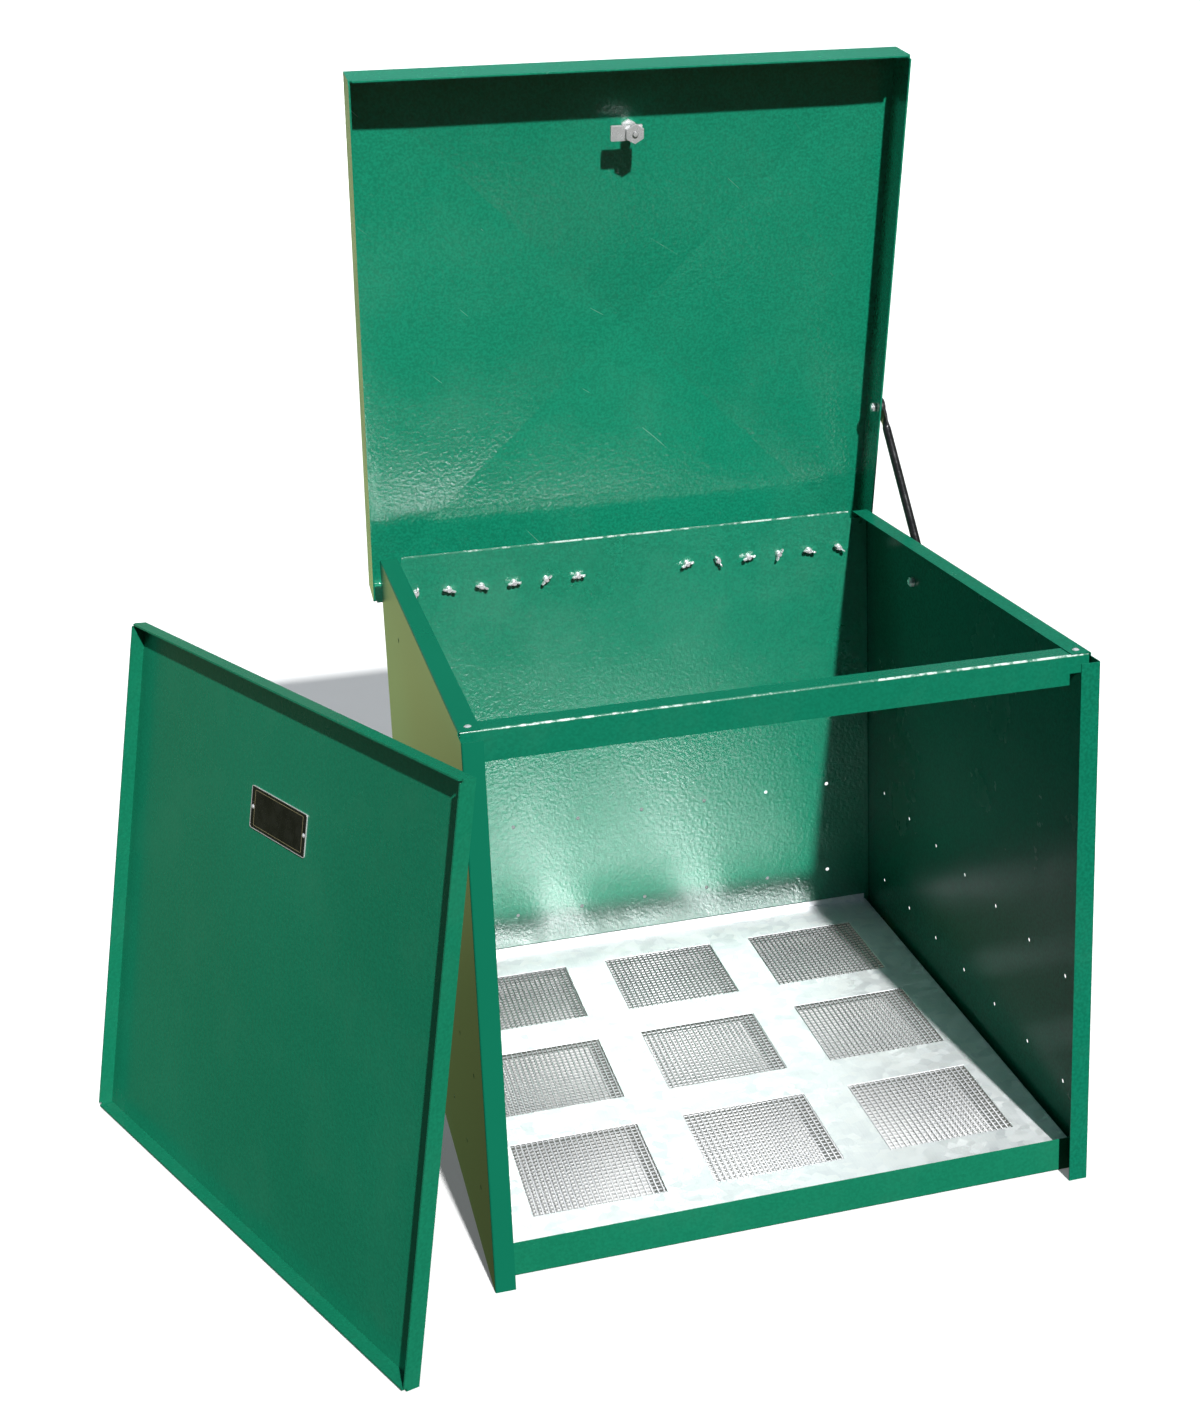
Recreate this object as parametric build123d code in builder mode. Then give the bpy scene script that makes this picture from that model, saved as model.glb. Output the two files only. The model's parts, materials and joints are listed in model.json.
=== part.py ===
from build123d import *
from math import cos, radians, sin
import os

os.makedirs("parts", exist_ok=True)

# Overall size of the bin, in millimetres
BIN_WIDTH = 780.0
BIN_DEPTH = 750.0
BIN_HEIGHT = 712.0
SHEET = 1.2  # coated steel sheet
BEND = 1.8  # middle radius of a folded edge
FIT = 0.3  # gap between pieces that nest

# Place of the bin's middle in the frame, which is centred under bin, open lid and leaning door
BIN_X = 224.87
BIN_Y = 30.0

# Side panels
STILE_REACH = 25.5
STILE_DROP = 5.0
TOP_FLANGE = 26.6
REAR_FLANGE = 25.0
FOOT_FLANGE = 25.0
FOOT_SETBACK = 55.0

# Air vents, in two rows on the sides and the back
VENT_DIAMETER = 6.0
VENT_COUNT = 7
VENT_LOW = 99.0
VENT_HIGH = 252.0
SIDE_VENT_PITCH = 102.0
BACK_VENT_PITCH = 105.0

# Back panel
BACK_SHOULDER = 12.0
BACK_CORNER = 30.5

# Front crossbar and sill, set back behind the channel that the door drops into
DOOR_CHANNEL = 24.0
BAR_FACE = 38.8
BAR_FLANGE = 27.0
BAR_NOTCH = 14.0
BAR_NOTCH_INSET = 11.3
BAR_TAB = 18.0
SILL_HEIGHT = 46.0
SILL_FLANGE = 26.0

# Floor tray with its screened windows
FLOOR_HEIGHT = 36.0
FLOOR_GAP = 6.3
FLOOR_RIM = 10.0
WINDOW_WIDTH = 174.0
WINDOW_DEPTH = 155.0
WINDOW_SIDE_PITCH = 238.0
WINDOW_DEPTH_PITCH = 221.0
WINDOW_SHIFT = 4.0
WINDOW_COUNT = 3
MESH_SHEET = 0.9
MESH_WIRE = 2.2
MESH_COLUMNS = 6
MESH_ROWS = 5
MESH_LAP = 12.0

# Hinges
HINGE_INSET = 31.75  # from the bin's side to the leaf's end
HINGE_LENGTH = 290.0
PIN_DROP = 68.5  # under the bin's top
PIN_RADIUS = 3.0
PIN_PLAY = 0.05
PIN_HEAD = 1.2
KNUCKLE_RADIUS = 6.0
KNUCKLE_COUNT = 5
KNUCKLE_GAP = 0.5
LEAF = 1.5
LEAF_EDGE = 6.8
BACK_LEAF_HEIGHT = 32.5
LID_LEAF_HEIGHT = 44.0

# Bolts and wing nuts that hold the hinges to the back
BOLT_COUNT = 6
BOLT_PITCH = 50.3
BOLT_RISE = 11.5  # above the pin
BOLT_RADIUS = 3.0
BOLT_PLAY = 0.1
BOLT_HEAD_RADIUS = 4.6
BOLT_HEAD = 3.2
BOLT_TAIL = 2.0
NUT_HUB_RADIUS = 5.2
NUT_HUB = 7.0
WING_REACH = 10.5
WING_RISE = 11.5
WING_SHEET = 2.0
WING_LOBE = 3.4
WING_TURNS_LEFT = (75.0, -15.0, -20.0, 3.0, 40.0, 5.0)
WING_TURNS_RIGHT = (20.0, -60.0, 15.0, 60.0, -12.0, -35.0)

# Lid
LID_OPENING = 77.6  # degrees from closed to propped open
LID_GAP = 2.5
LID_FLANGE = 59.0
LID_SIDE_OVERHANG = 11.0
LID_FRONT_OVERHANG = 34.0
LID_CROWN = 9.0
LID_CROWN_TIP = 6.0
LID_HEM = 10.0
LID_NOTCH = 5.0

# Domed rivets
RIVET_HEAD = 1.6
RIVET_HEAD_RADIUS = 4.4
RIVET_RADIUS = 2.4
RIVET_PLAY = 0.1
BAR_RIVET_INSET = 14.0
BAR_RIVET_SETBACK = 13.0
CORNER_RIVET_INSET = 12.5
CORNER_RIVET_LOW = 30.0
CORNER_RIVET_DROP = 20.0  # under the bin's top
LEAF_RIVET_COUNT = 4
LEAF_RIVET_PITCH = 80.0
LEAF_RIVET_HEIGHT = 34.0

# Prop stay on the right side
STAY_BACK = 188.0
STAY_DROP = 67.0  # under the bin's top
STAY_OFFSET = 19.5
STAY_RADIUS = 6.5
STAY_PLATE = 4.0
STAY_EYE = 11.0
STAY_EYE_LENGTH = 20.0
STAY_TAPER = 18.0
STAY_HOOK = 14.0
STAY_HOOK_TURN = 240.8
STAY_BOLT_RADIUS = 4.0
STAY_SPACER_RADIUS = 7.0
STAY_HEAD = 3.0
STAY_HEAD_RADIUS = 7.5
STAY_NUT_FLATS = 13.0
STAY_NUT = 6.0
STUD_ALONG = 240.5
STUD_DROP = 37.4
STUD_SLOT = 9.0

# Quarter-turn latch in the lid
LATCH_INSET = 97.0
LATCH_BEZEL_RADIUS = 13.0
LATCH_BEZEL = 2.5
LATCH_BARREL_RADIUS = 7.5
LATCH_BARREL = 18.0
LATCH_SEAT = 0.4
LATCH_SPINDLE_RADIUS = 4.0
LATCH_NUT_FLATS = 20.0
LATCH_NUT = 5.0
CAM_DROP = 29.0
CAM = 5.0
CAM_WIDTH = 22.0
CAM_REACH = 34.0
CAM_HEEL = 12.0
CAM_NUT_FLATS = 25.0
CAM_NUT = 7.0
HANDLE_LENGTH = 62.0
HANDLE_WIDTH = 13.0
HANDLE_RISE = 17.0
HANDLE_HUB_RADIUS = 9.0

# Door, lifted out of its channel and leant beside the bin's front left corner
DOOR_SHORT = 6.0  # lower than the bin's top
DOOR_SIDE_PLAY = 1.8
DOOR_FLANGE_PLAY = 1.8
DOOR_HEM = 8.0
DOOR_NOTCH = 4.0
DOOR_YAW = 26.69
DOOR_LEAN = 10.5
DOOR_CLEAR = 1.5
DOOR_AHEAD = 39.3
PLATE_WIDTH = 132.0
PLATE_HEIGHT = 55.0
PLATE_SHEET = 1.0
PLATE_CORNER = 3.0
PLATE_DROP = 167.0  # under the door's top
PLATE_RIVET_SPAN = 122.0
PLATE_RIVET_RADIUS = 1.5
PLATE_RIVET_HEAD_RADIUS = 3.0

# Derived places
half_width = BIN_WIDTH / 2
half_depth = BIN_DEPTH / 2
mid_sheet = SHEET / 2
inner_half = half_width - SHEET - FIT
nest_half = half_width - mid_sheet - BEND - FIT
stile_top = BIN_HEIGHT - STILE_DROP
back_out = half_depth - SHEET
back_in = back_out - SHEET
bar_front = DOOR_CHANNEL - half_depth
bar_top = BIN_HEIGHT - SHEET
vent_middle = (VENT_LOW + VENT_HIGH) / 2
vent_spacing = VENT_HIGH - VENT_LOW
floor_half = half_width - SHEET - FLOOR_GAP
floor_front = bar_front + mid_sheet + BEND + FIT
floor_rear = back_in - FIT
pin_back = back_out + KNUCKLE_RADIUS
pin_height = BIN_HEIGHT - PIN_DROP
bolt_height = pin_height + BOLT_RISE
stay_height = BIN_HEIGHT - STAY_DROP
corner_rivet_high = BIN_HEIGHT - CORNER_RIVET_DROP
knuckle_pitch = HINGE_LENGTH / KNUCKLE_COUNT
hinge_centre = half_width - HINGE_INSET - HINGE_LENGTH / 2
lid_under = PIN_DROP + LID_GAP
lid_top = lid_under + SHEET
lid_edge = lid_top - LID_FLANGE
lid_rear = KNUCKLE_RADIUS + SHEET
lid_front = -half_depth - LID_FRONT_OVERHANG - pin_back
lid_length = lid_rear - lid_front
lid_middle = (lid_rear + lid_front) / 2
lid_half = half_width + LID_SIDE_OVERHANG
stay_out = half_width + STAY_OFFSET
stay_face_in = stay_out - STAY_PLATE / 2
stay_face_out = stay_out + STAY_PLATE / 2
stud_y = lid_rear - STUD_ALONG
stud_z = lid_top - STUD_DROP
latch_y = lid_front + LATCH_INSET
latch_rise = LID_CROWN * LATCH_INSET / (lid_length / 2)
latch_under = lid_under + latch_rise - LATCH_SEAT
latch_over = lid_top + latch_rise + LATCH_SEAT
cam_top = lid_under - CAM_DROP
door_width = BIN_WIDTH - 2 * SHEET - 2 * DOOR_SIDE_PLAY
door_flange = DOOR_CHANNEL - SHEET - DOOR_FLANGE_PLAY
door_height = BIN_HEIGHT - DOOR_SHORT
plate_rise = door_height - PLATE_DROP


def level(z):
    """Horizontal plane at height z, seen from above, about the bin's middle."""
    return Plane((BIN_X, BIN_Y, z))


def across(y):
    """Upright plane facing the front, y behind the bin's middle."""
    return Plane((BIN_X, BIN_Y + y, 0), x_dir=(1, 0, 0), z_dir=(0, -1, 0))


def flank(x):
    """Upright plane facing the right, x beside the bin's middle."""
    return Plane((BIN_X + x, BIN_Y, 0), x_dir=(0, 1, 0), z_dir=(1, 0, 0))


# The lid's own frame lies along the hinge pin and turns with the lid
opening = radians(LID_OPENING)
LID = Plane(
    (BIN_X, BIN_Y + pin_back, pin_height),
    x_dir=(1, 0, 0),
    z_dir=(0, sin(opening), cos(opening)),
)
LID_UP = Axis(LID.origin, LID.z_dir)


def lid_across(y):
    """Plane square to the lid and parallel to the pin, y behind the pin."""
    return Plane(LID.from_local_coords((0, y, 0)), x_dir=LID.x_dir, z_dir=-LID.y_dir)


def lid_flank(x):
    """Plane square to the pin, x beside the bin's middle, in the lid's frame."""
    return Plane(LID.from_local_coords((x, 0, 0)), x_dir=LID.y_dir, z_dir=LID.x_dir)


CENTRE = flank(0)


def rivet(head_radius, shank_radius, grip):
    """A rivet along +Z: its domed head starts at z = 0 and its tail lies under the grip."""
    tail = 0.7 * head_radius
    with BuildPart() as piece:
        with BuildSketch(Plane.XZ):
            with BuildLine():
                Polyline(
                    (0, RIVET_HEAD),
                    (0.55 * head_radius, 0.8 * RIVET_HEAD),
                    (head_radius, 0),
                    (shank_radius, 0),
                    (shank_radius, -grip),
                    (tail, -grip),
                    (tail, -grip - RIVET_HEAD / 2),
                    (0, -grip - RIVET_HEAD / 2),
                    close=True,
                )
            make_face()
        revolve(axis=Axis.Z)
    return piece.part


# Right side panel: one folded sheet with stile, rear, top and foot flanges
with BuildPart() as right_side_panel:
    with BuildSketch(level(0)):
        with BuildLine():
            FilletPolyline(
                (half_width - STILE_REACH, mid_sheet - half_depth),
                (half_width - mid_sheet, mid_sheet - half_depth),
                (half_width - mid_sheet, half_depth - mid_sheet),
                (half_width - REAR_FLANGE, half_depth - mid_sheet),
                radius=BEND,
            )
        trace(line_width=SHEET)
    extrude(amount=stile_top)
    with BuildSketch(across(bar_front)):
        with BuildLine():
            FilletPolyline(
                (half_width - mid_sheet, stile_top - STILE_DROP),
                (half_width - mid_sheet, BIN_HEIGHT - mid_sheet),
                (half_width - TOP_FLANGE, BIN_HEIGHT - mid_sheet),
                radius=BEND,
            )
        trace(line_width=SHEET)
    extrude(amount=bar_front - floor_rear)
    with BuildSketch(level(0)):
        with Locations((half_width - mid_sheet - FOOT_FLANGE / 2, 0)):
            Rectangle(FOOT_FLANGE, BIN_DEPTH - 2 * FOOT_SETBACK)
    extrude(amount=SHEET)
    with BuildSketch(flank(half_width)):
        with Locations((0, vent_middle)):
            with GridLocations(SIDE_VENT_PITCH, vent_spacing, VENT_COUNT, 2):
                Circle(VENT_DIAMETER / 2)
        with Locations((STAY_BACK, stay_height)):
            Circle(STAY_BOLT_RADIUS + PIN_PLAY)
    extrude(amount=-2 * SHEET, mode=Mode.SUBTRACT)
    with BuildSketch(level(BIN_HEIGHT)):
        with Locations((half_width - BAR_RIVET_INSET, bar_front + BAR_RIVET_SETBACK)):
            Circle(RIVET_RADIUS + RIVET_PLAY)
    extrude(amount=-2 * SHEET, mode=Mode.SUBTRACT)
    with BuildSketch(across(half_depth)):
        with Locations(
            (half_width - CORNER_RIVET_INSET, CORNER_RIVET_LOW),
            (half_width - CORNER_RIVET_INSET, corner_rivet_high),
        ):
            Circle(RIVET_RADIUS + RIVET_PLAY)
    extrude(amount=1.5 * SHEET, mode=Mode.SUBTRACT)
right_side_panel.part.label = "right_side_panel"
export_step(right_side_panel.part, "parts/right_side_panel.step")

with BuildPart() as left_side_panel:
    mirror(right_side_panel.part, about=CENTRE)
left_side_panel.part.label = "left_side_panel"
export_step(left_side_panel.part, "parts/left_side_panel.step")

# Back panel: stepped top corners, a hem along the top, vents and hinge bolt holes
with BuildPart() as back_panel:
    with BuildSketch(across(back_out)):
        with BuildLine():
            Polyline(
                (-nest_half, 0),
                (nest_half, 0),
                (nest_half, BIN_HEIGHT - BACK_SHOULDER),
                (half_width - BACK_CORNER, BIN_HEIGHT - BACK_SHOULDER),
                (half_width - BACK_CORNER - BACK_SHOULDER / 4, BIN_HEIGHT),
                (BACK_CORNER + BACK_SHOULDER / 4 - half_width, BIN_HEIGHT),
                (BACK_CORNER - half_width, BIN_HEIGHT - BACK_SHOULDER),
                (-nest_half, BIN_HEIGHT - BACK_SHOULDER),
                close=True,
            )
        make_face()
        with Locations((0, vent_middle)):
            with GridLocations(BACK_VENT_PITCH, vent_spacing, VENT_COUNT, 2):
                Circle(VENT_DIAMETER / 2, mode=Mode.SUBTRACT)
        with Locations((-hinge_centre, bolt_height), (hinge_centre, bolt_height)):
            with GridLocations(BOLT_PITCH, BOLT_PITCH, BOLT_COUNT, 1):
                Circle(BOLT_RADIUS + BOLT_PLAY, mode=Mode.SUBTRACT)
        with GridLocations(2 * (half_width - CORNER_RIVET_INSET), 1, 2, 1):
            with Locations((0, CORNER_RIVET_LOW), (0, corner_rivet_high)):
                Circle(RIVET_RADIUS + RIVET_PLAY, mode=Mode.SUBTRACT)
    extrude(amount=SHEET)
    with BuildSketch(across(back_out)):
        with Locations((0, BIN_HEIGHT - BACK_SHOULDER / 2)):
            Rectangle(BIN_WIDTH - 2 * BACK_CORNER - BACK_SHOULDER, BACK_SHOULDER)
    extrude(amount=-2 * SHEET)
back_panel.part.label = "back_panel"
export_step(back_panel.part, "parts/back_panel.step")

# Crossbar: a folded angle with coved lower corners and end tabs
with BuildPart() as front_crossbar:
    with BuildSketch(flank(0)):
        with BuildLine():
            FilletPolyline(
                (bar_front + mid_sheet, bar_top - BAR_FACE),
                (bar_front + mid_sheet, bar_top - mid_sheet),
                (bar_front + BAR_FLANGE, bar_top - mid_sheet),
                radius=BEND,
            )
        trace(line_width=SHEET)
    extrude(amount=nest_half, both=True)
    with BuildSketch(across(bar_front)):
        with GridLocations(2 * (nest_half - BAR_NOTCH_INSET), 1, 2, 1):
            with Locations((0, bar_top - BAR_FACE)):
                Circle(BAR_NOTCH)
        with GridLocations(2 * nest_half - BAR_NOTCH_INSET, 1, 2, 1):
            with Locations((0, bar_top - BAR_FACE)):
                Rectangle(BAR_NOTCH_INSET, 2 * BAR_NOTCH)
    extrude(amount=-2 * SHEET, mode=Mode.SUBTRACT)
    with BuildSketch(flank(nest_half), flank(SHEET - nest_half)):
        with Locations((bar_front + BAR_TAB / 2, bar_top - (BAR_FACE - BAR_NOTCH) / 2)):
            Rectangle(BAR_TAB, BAR_FACE - BAR_NOTCH - 2 * BEND)
    extrude(amount=-SHEET)
    with BuildSketch(level(bar_top)):
        with GridLocations(2 * (half_width - BAR_RIVET_INSET), 1, 2, 1):
            with Locations((0, bar_front + BAR_RIVET_SETBACK)):
                Circle(RIVET_RADIUS + RIVET_PLAY)
    extrude(amount=-2 * SHEET, mode=Mode.SUBTRACT)
front_crossbar.part.label = "front_crossbar"
export_step(front_crossbar.part, "parts/front_crossbar.step")

# Sill: a low folded angle across the foot of the front
with BuildPart() as front_sill:
    with BuildSketch(flank(0)):
        with BuildLine():
            FilletPolyline(
                (bar_front + mid_sheet, SILL_HEIGHT),
                (bar_front + mid_sheet, mid_sheet),
                (bar_front + SILL_FLANGE, mid_sheet),
                radius=BEND,
            )
        trace(line_width=SHEET)
    extrude(amount=inner_half, both=True)
front_sill.part.label = "front_sill"
export_step(front_sill.part, "parts/front_sill.step")

# Floor tray: legs at the sides and front, a rim at the back, and screened windows
with BuildPart() as floor_tray:
    with BuildSketch(across(floor_front)):
        with BuildLine():
            FilletPolyline(
                (mid_sheet - floor_half, SHEET),
                (mid_sheet - floor_half, FLOOR_HEIGHT - mid_sheet),
                (floor_half - mid_sheet, FLOOR_HEIGHT - mid_sheet),
                (floor_half - mid_sheet, SHEET),
                radius=BEND,
            )
        trace(line_width=SHEET)
    extrude(amount=floor_front - floor_rear)
    with BuildSketch(level(FLOOR_HEIGHT - SHEET)):
        with Locations((0, floor_rear - mid_sheet)):
            Rectangle(2 * (floor_half - 2 * BEND), SHEET)
    extrude(amount=FLOOR_RIM + SHEET)
    with BuildSketch(level(SHEET)):
        with Locations((0, floor_front + mid_sheet)):
            Rectangle(2 * (floor_half - 2 * BEND), SHEET)
    extrude(amount=FLOOR_HEIGHT - 1.5 * SHEET)
    with BuildSketch(level(FLOOR_HEIGHT)):
        with Locations((0, WINDOW_SHIFT)):
            with GridLocations(WINDOW_SIDE_PITCH, WINDOW_DEPTH_PITCH, WINDOW_COUNT, WINDOW_COUNT):
                Rectangle(WINDOW_WIDTH, WINDOW_DEPTH)
    extrude(amount=-2 * SHEET, mode=Mode.SUBTRACT)
floor_tray.part.label = "floor_tray"
export_step(floor_tray.part, "parts/floor_tray.step")

# Screen: one sheet of mesh against the tray's underside, open in each window
gap_x = WINDOW_WIDTH / MESH_COLUMNS
gap_y = WINDOW_DEPTH / MESH_ROWS
with BuildPart() as floor_mesh:
    with BuildSketch(level(FLOOR_HEIGHT - SHEET)):
        with Locations((0, WINDOW_SHIFT)):
            Rectangle(
                (WINDOW_COUNT - 1) * WINDOW_SIDE_PITCH + WINDOW_WIDTH + 2 * MESH_LAP,
                (WINDOW_COUNT - 1) * WINDOW_DEPTH_PITCH + WINDOW_DEPTH + 2 * MESH_LAP,
            )
            with GridLocations(WINDOW_SIDE_PITCH, WINDOW_DEPTH_PITCH, WINDOW_COUNT, WINDOW_COUNT):
                with GridLocations(gap_x, gap_y, MESH_COLUMNS, MESH_ROWS):
                    Rectangle(gap_x - MESH_WIRE, gap_y - MESH_WIRE, mode=Mode.SUBTRACT)
    extrude(amount=-MESH_SHEET)
floor_mesh.part.label = "floor_mesh"
export_step(floor_mesh.part, "parts/floor_mesh.step")

# Rivets through the top flanges into the crossbar, and through the rear flanges into the back
bar_rivet = rivet(RIVET_HEAD_RADIUS, RIVET_RADIUS, 2 * SHEET)
with BuildPart() as crossbar_rivets:
    with Locations(level(BIN_HEIGHT)):
        with GridLocations(2 * (half_width - BAR_RIVET_INSET), 1, 2, 1):
            with Locations((0, bar_front + BAR_RIVET_SETBACK)):
                add(bar_rivet)
crossbar_rivets.part.label = "crossbar_rivets"
export_step(crossbar_rivets.part, "parts/crossbar_rivets.step")

rear_face = Plane((BIN_X, BIN_Y + half_depth, 0), x_dir=(-1, 0, 0), z_dir=(0, 1, 0))
with BuildPart() as corner_rivets:
    with Locations(rear_face):
        with GridLocations(2 * (half_width - CORNER_RIVET_INSET), 1, 2, 1):
            with Locations((0, CORNER_RIVET_LOW), (0, corner_rivet_high)):
                add(bar_rivet)
corner_rivets.part.label = "corner_rivets"
export_step(corner_rivets.part, "parts/corner_rivets.step")

# Hinges: odd knuckles belong to the leaf on the back, even ones to the leaf on the lid
stations = [(i - (KNUCKLE_COUNT - 1) / 2) * knuckle_pitch for i in range(KNUCKLE_COUNT)]
back_stations = stations[0::2]
lid_stations = stations[1::2]
knuckle_half = (knuckle_pitch - KNUCKLE_GAP) / 2

with BuildPart() as right_hinge_leaf:
    with BuildSketch(flank(hinge_centre)):
        with Locations((back_out + LEAF / 2, pin_height + (LEAF_EDGE + BACK_LEAF_HEIGHT) / 2)):
            Rectangle(LEAF, BACK_LEAF_HEIGHT - LEAF_EDGE)
    extrude(amount=HINGE_LENGTH / 2, both=True)
    with BuildSketch(*[flank(hinge_centre + s) for s in back_stations]):
        with Locations((pin_back, pin_height)):
            Circle(KNUCKLE_RADIUS)
            with Locations((LEAF / 2 - KNUCKLE_RADIUS, LEAF_EDGE / 2)):
                Rectangle(LEAF, LEAF_EDGE)
            Circle(PIN_RADIUS + PIN_PLAY, mode=Mode.SUBTRACT)
    extrude(amount=knuckle_half, both=True)
    with BuildSketch(across(back_out + LEAF)):
        with Locations((hinge_centre, bolt_height)):
            with GridLocations(BOLT_PITCH, BOLT_PITCH, BOLT_COUNT, 1):
                Circle(BOLT_RADIUS + BOLT_PLAY)
    extrude(amount=LEAF, mode=Mode.SUBTRACT)
right_hinge_leaf.part.label = "right_hinge_leaf"
export_step(right_hinge_leaf.part, "parts/right_hinge_leaf.step")

with BuildPart() as left_hinge_leaf:
    mirror(right_hinge_leaf.part, about=CENTRE)
left_hinge_leaf.part.label = "left_hinge_leaf"
export_step(left_hinge_leaf.part, "parts/left_hinge_leaf.step")

with BuildPart() as right_hinge_pin:
    with BuildSketch(flank(hinge_centre)):
        with Locations((pin_back, pin_height)):
            Circle(PIN_RADIUS)
    extrude(amount=HINGE_LENGTH / 2, both=True)
    with BuildSketch(
        flank(hinge_centre + HINGE_LENGTH / 2),
        flank(hinge_centre - HINGE_LENGTH / 2 - PIN_HEAD),
    ):
        with Locations((pin_back, pin_height)):
            Circle(PIN_RADIUS + PIN_HEAD)
    extrude(amount=PIN_HEAD)
right_hinge_pin.part.label = "right_hinge_pin"
export_step(right_hinge_pin.part, "parts/right_hinge_pin.step")

with BuildPart() as left_hinge_pin:
    mirror(right_hinge_pin.part, about=CENTRE)
left_hinge_pin.part.label = "left_hinge_pin"
export_step(left_hinge_pin.part, "parts/left_hinge_pin.step")

with BuildPart() as right_lid_leaf:
    with BuildSketch(lid_flank(hinge_centre)):
        with Locations((KNUCKLE_RADIUS - LEAF / 2, (LEAF_EDGE + LID_LEAF_HEIGHT) / 2)):
            Rectangle(LEAF, LID_LEAF_HEIGHT - LEAF_EDGE)
    extrude(amount=HINGE_LENGTH / 2, both=True)
    with BuildSketch(*[lid_flank(hinge_centre + s) for s in lid_stations]):
        Circle(KNUCKLE_RADIUS)
        with Locations((KNUCKLE_RADIUS - LEAF / 2, LEAF_EDGE / 2)):
            Rectangle(LEAF, LEAF_EDGE)
        Circle(PIN_RADIUS + PIN_PLAY, mode=Mode.SUBTRACT)
    extrude(amount=knuckle_half, both=True)
    with BuildSketch(lid_across(KNUCKLE_RADIUS)):
        with Locations((hinge_centre, LEAF_RIVET_HEIGHT)):
            with GridLocations(LEAF_RIVET_PITCH, 1, LEAF_RIVET_COUNT, 1):
                Circle(RIVET_RADIUS + RIVET_PLAY)
    extrude(amount=LEAF, mode=Mode.SUBTRACT)
right_lid_leaf.part.label = "right_lid_leaf"
export_step(right_lid_leaf.part, "parts/right_lid_leaf.step")

with BuildPart() as left_lid_leaf:
    mirror(right_lid_leaf.part, about=CENTRE)
left_lid_leaf.part.label = "left_lid_leaf"
export_step(left_lid_leaf.part, "parts/left_lid_leaf.step")

# Hinge bolts from outside, each with a wing nut inside the bin
with BuildPart() as bolt:
    with BuildSketch(Plane.XZ):
        with BuildLine():
            Polyline(
                (0, -BOLT_HEAD),
                (0.6 * BOLT_HEAD_RADIUS, -BOLT_HEAD),
                (BOLT_HEAD_RADIUS, -BOLT_HEAD / 3),
                (BOLT_HEAD_RADIUS, 0),
                (BOLT_RADIUS, 0),
                (BOLT_RADIUS, LEAF + SHEET + NUT_HUB + BOLT_TAIL),
                (0, LEAF + SHEET + NUT_HUB + BOLT_TAIL),
                close=True,
            )
        make_face()
    revolve(axis=Axis.Z)

with BuildPart() as hinge_bolts:
    with Locations(across(back_out + LEAF)):
        with Locations((-hinge_centre, bolt_height), (hinge_centre, bolt_height)):
            with GridLocations(BOLT_PITCH, BOLT_PITCH, BOLT_COUNT, 1):
                add(bolt.part)
hinge_bolts.part.label = "hinge_bolts"
export_step(hinge_bolts.part, "parts/hinge_bolts.step")

with BuildPart() as wing_nut:
    with BuildSketch(Plane.XY):
        Circle(NUT_HUB_RADIUS)
    extrude(amount=NUT_HUB, taper=8)
    with BuildSketch(Plane.XZ):
        with GridLocations(2 * (WING_REACH - WING_LOBE), 1, 2, 1):
            with Locations((0, WING_RISE - WING_LOBE)):
                Circle(WING_LOBE)
        with BuildLine():
            Polyline(
                (-NUT_HUB_RADIUS, NUT_HUB / 4),
                (NUT_HUB_RADIUS, NUT_HUB / 4),
                (WING_REACH, WING_RISE - WING_LOBE),
                (NUT_HUB_RADIUS / 2, 0.8 * NUT_HUB),
                (-NUT_HUB_RADIUS / 2, 0.8 * NUT_HUB),
                (-WING_REACH, WING_RISE - WING_LOBE),
                close=True,
            )
        make_face()
    extrude(amount=WING_SHEET / 2, both=True)
    with Locations((0, 0, NUT_HUB)):
        Hole(BOLT_RADIUS + BOLT_PLAY, depth=2 * NUT_HUB)

wing_spots = []
for side, turns in ((-1, WING_TURNS_LEFT), (1, WING_TURNS_RIGHT)):
    for i, turn in enumerate(turns):
        along = side * hinge_centre + (i - (BOLT_COUNT - 1) / 2) * BOLT_PITCH
        wing_spots.append(across(back_in).location * Location((along, bolt_height, 0), (0, 0, turn)))
with BuildPart() as wing_nuts:
    with Locations(*wing_spots):
        add(wing_nut.part)
wing_nuts.part.label = "wing_nuts"
export_step(wing_nuts.part, "parts/wing_nuts.step")

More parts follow.
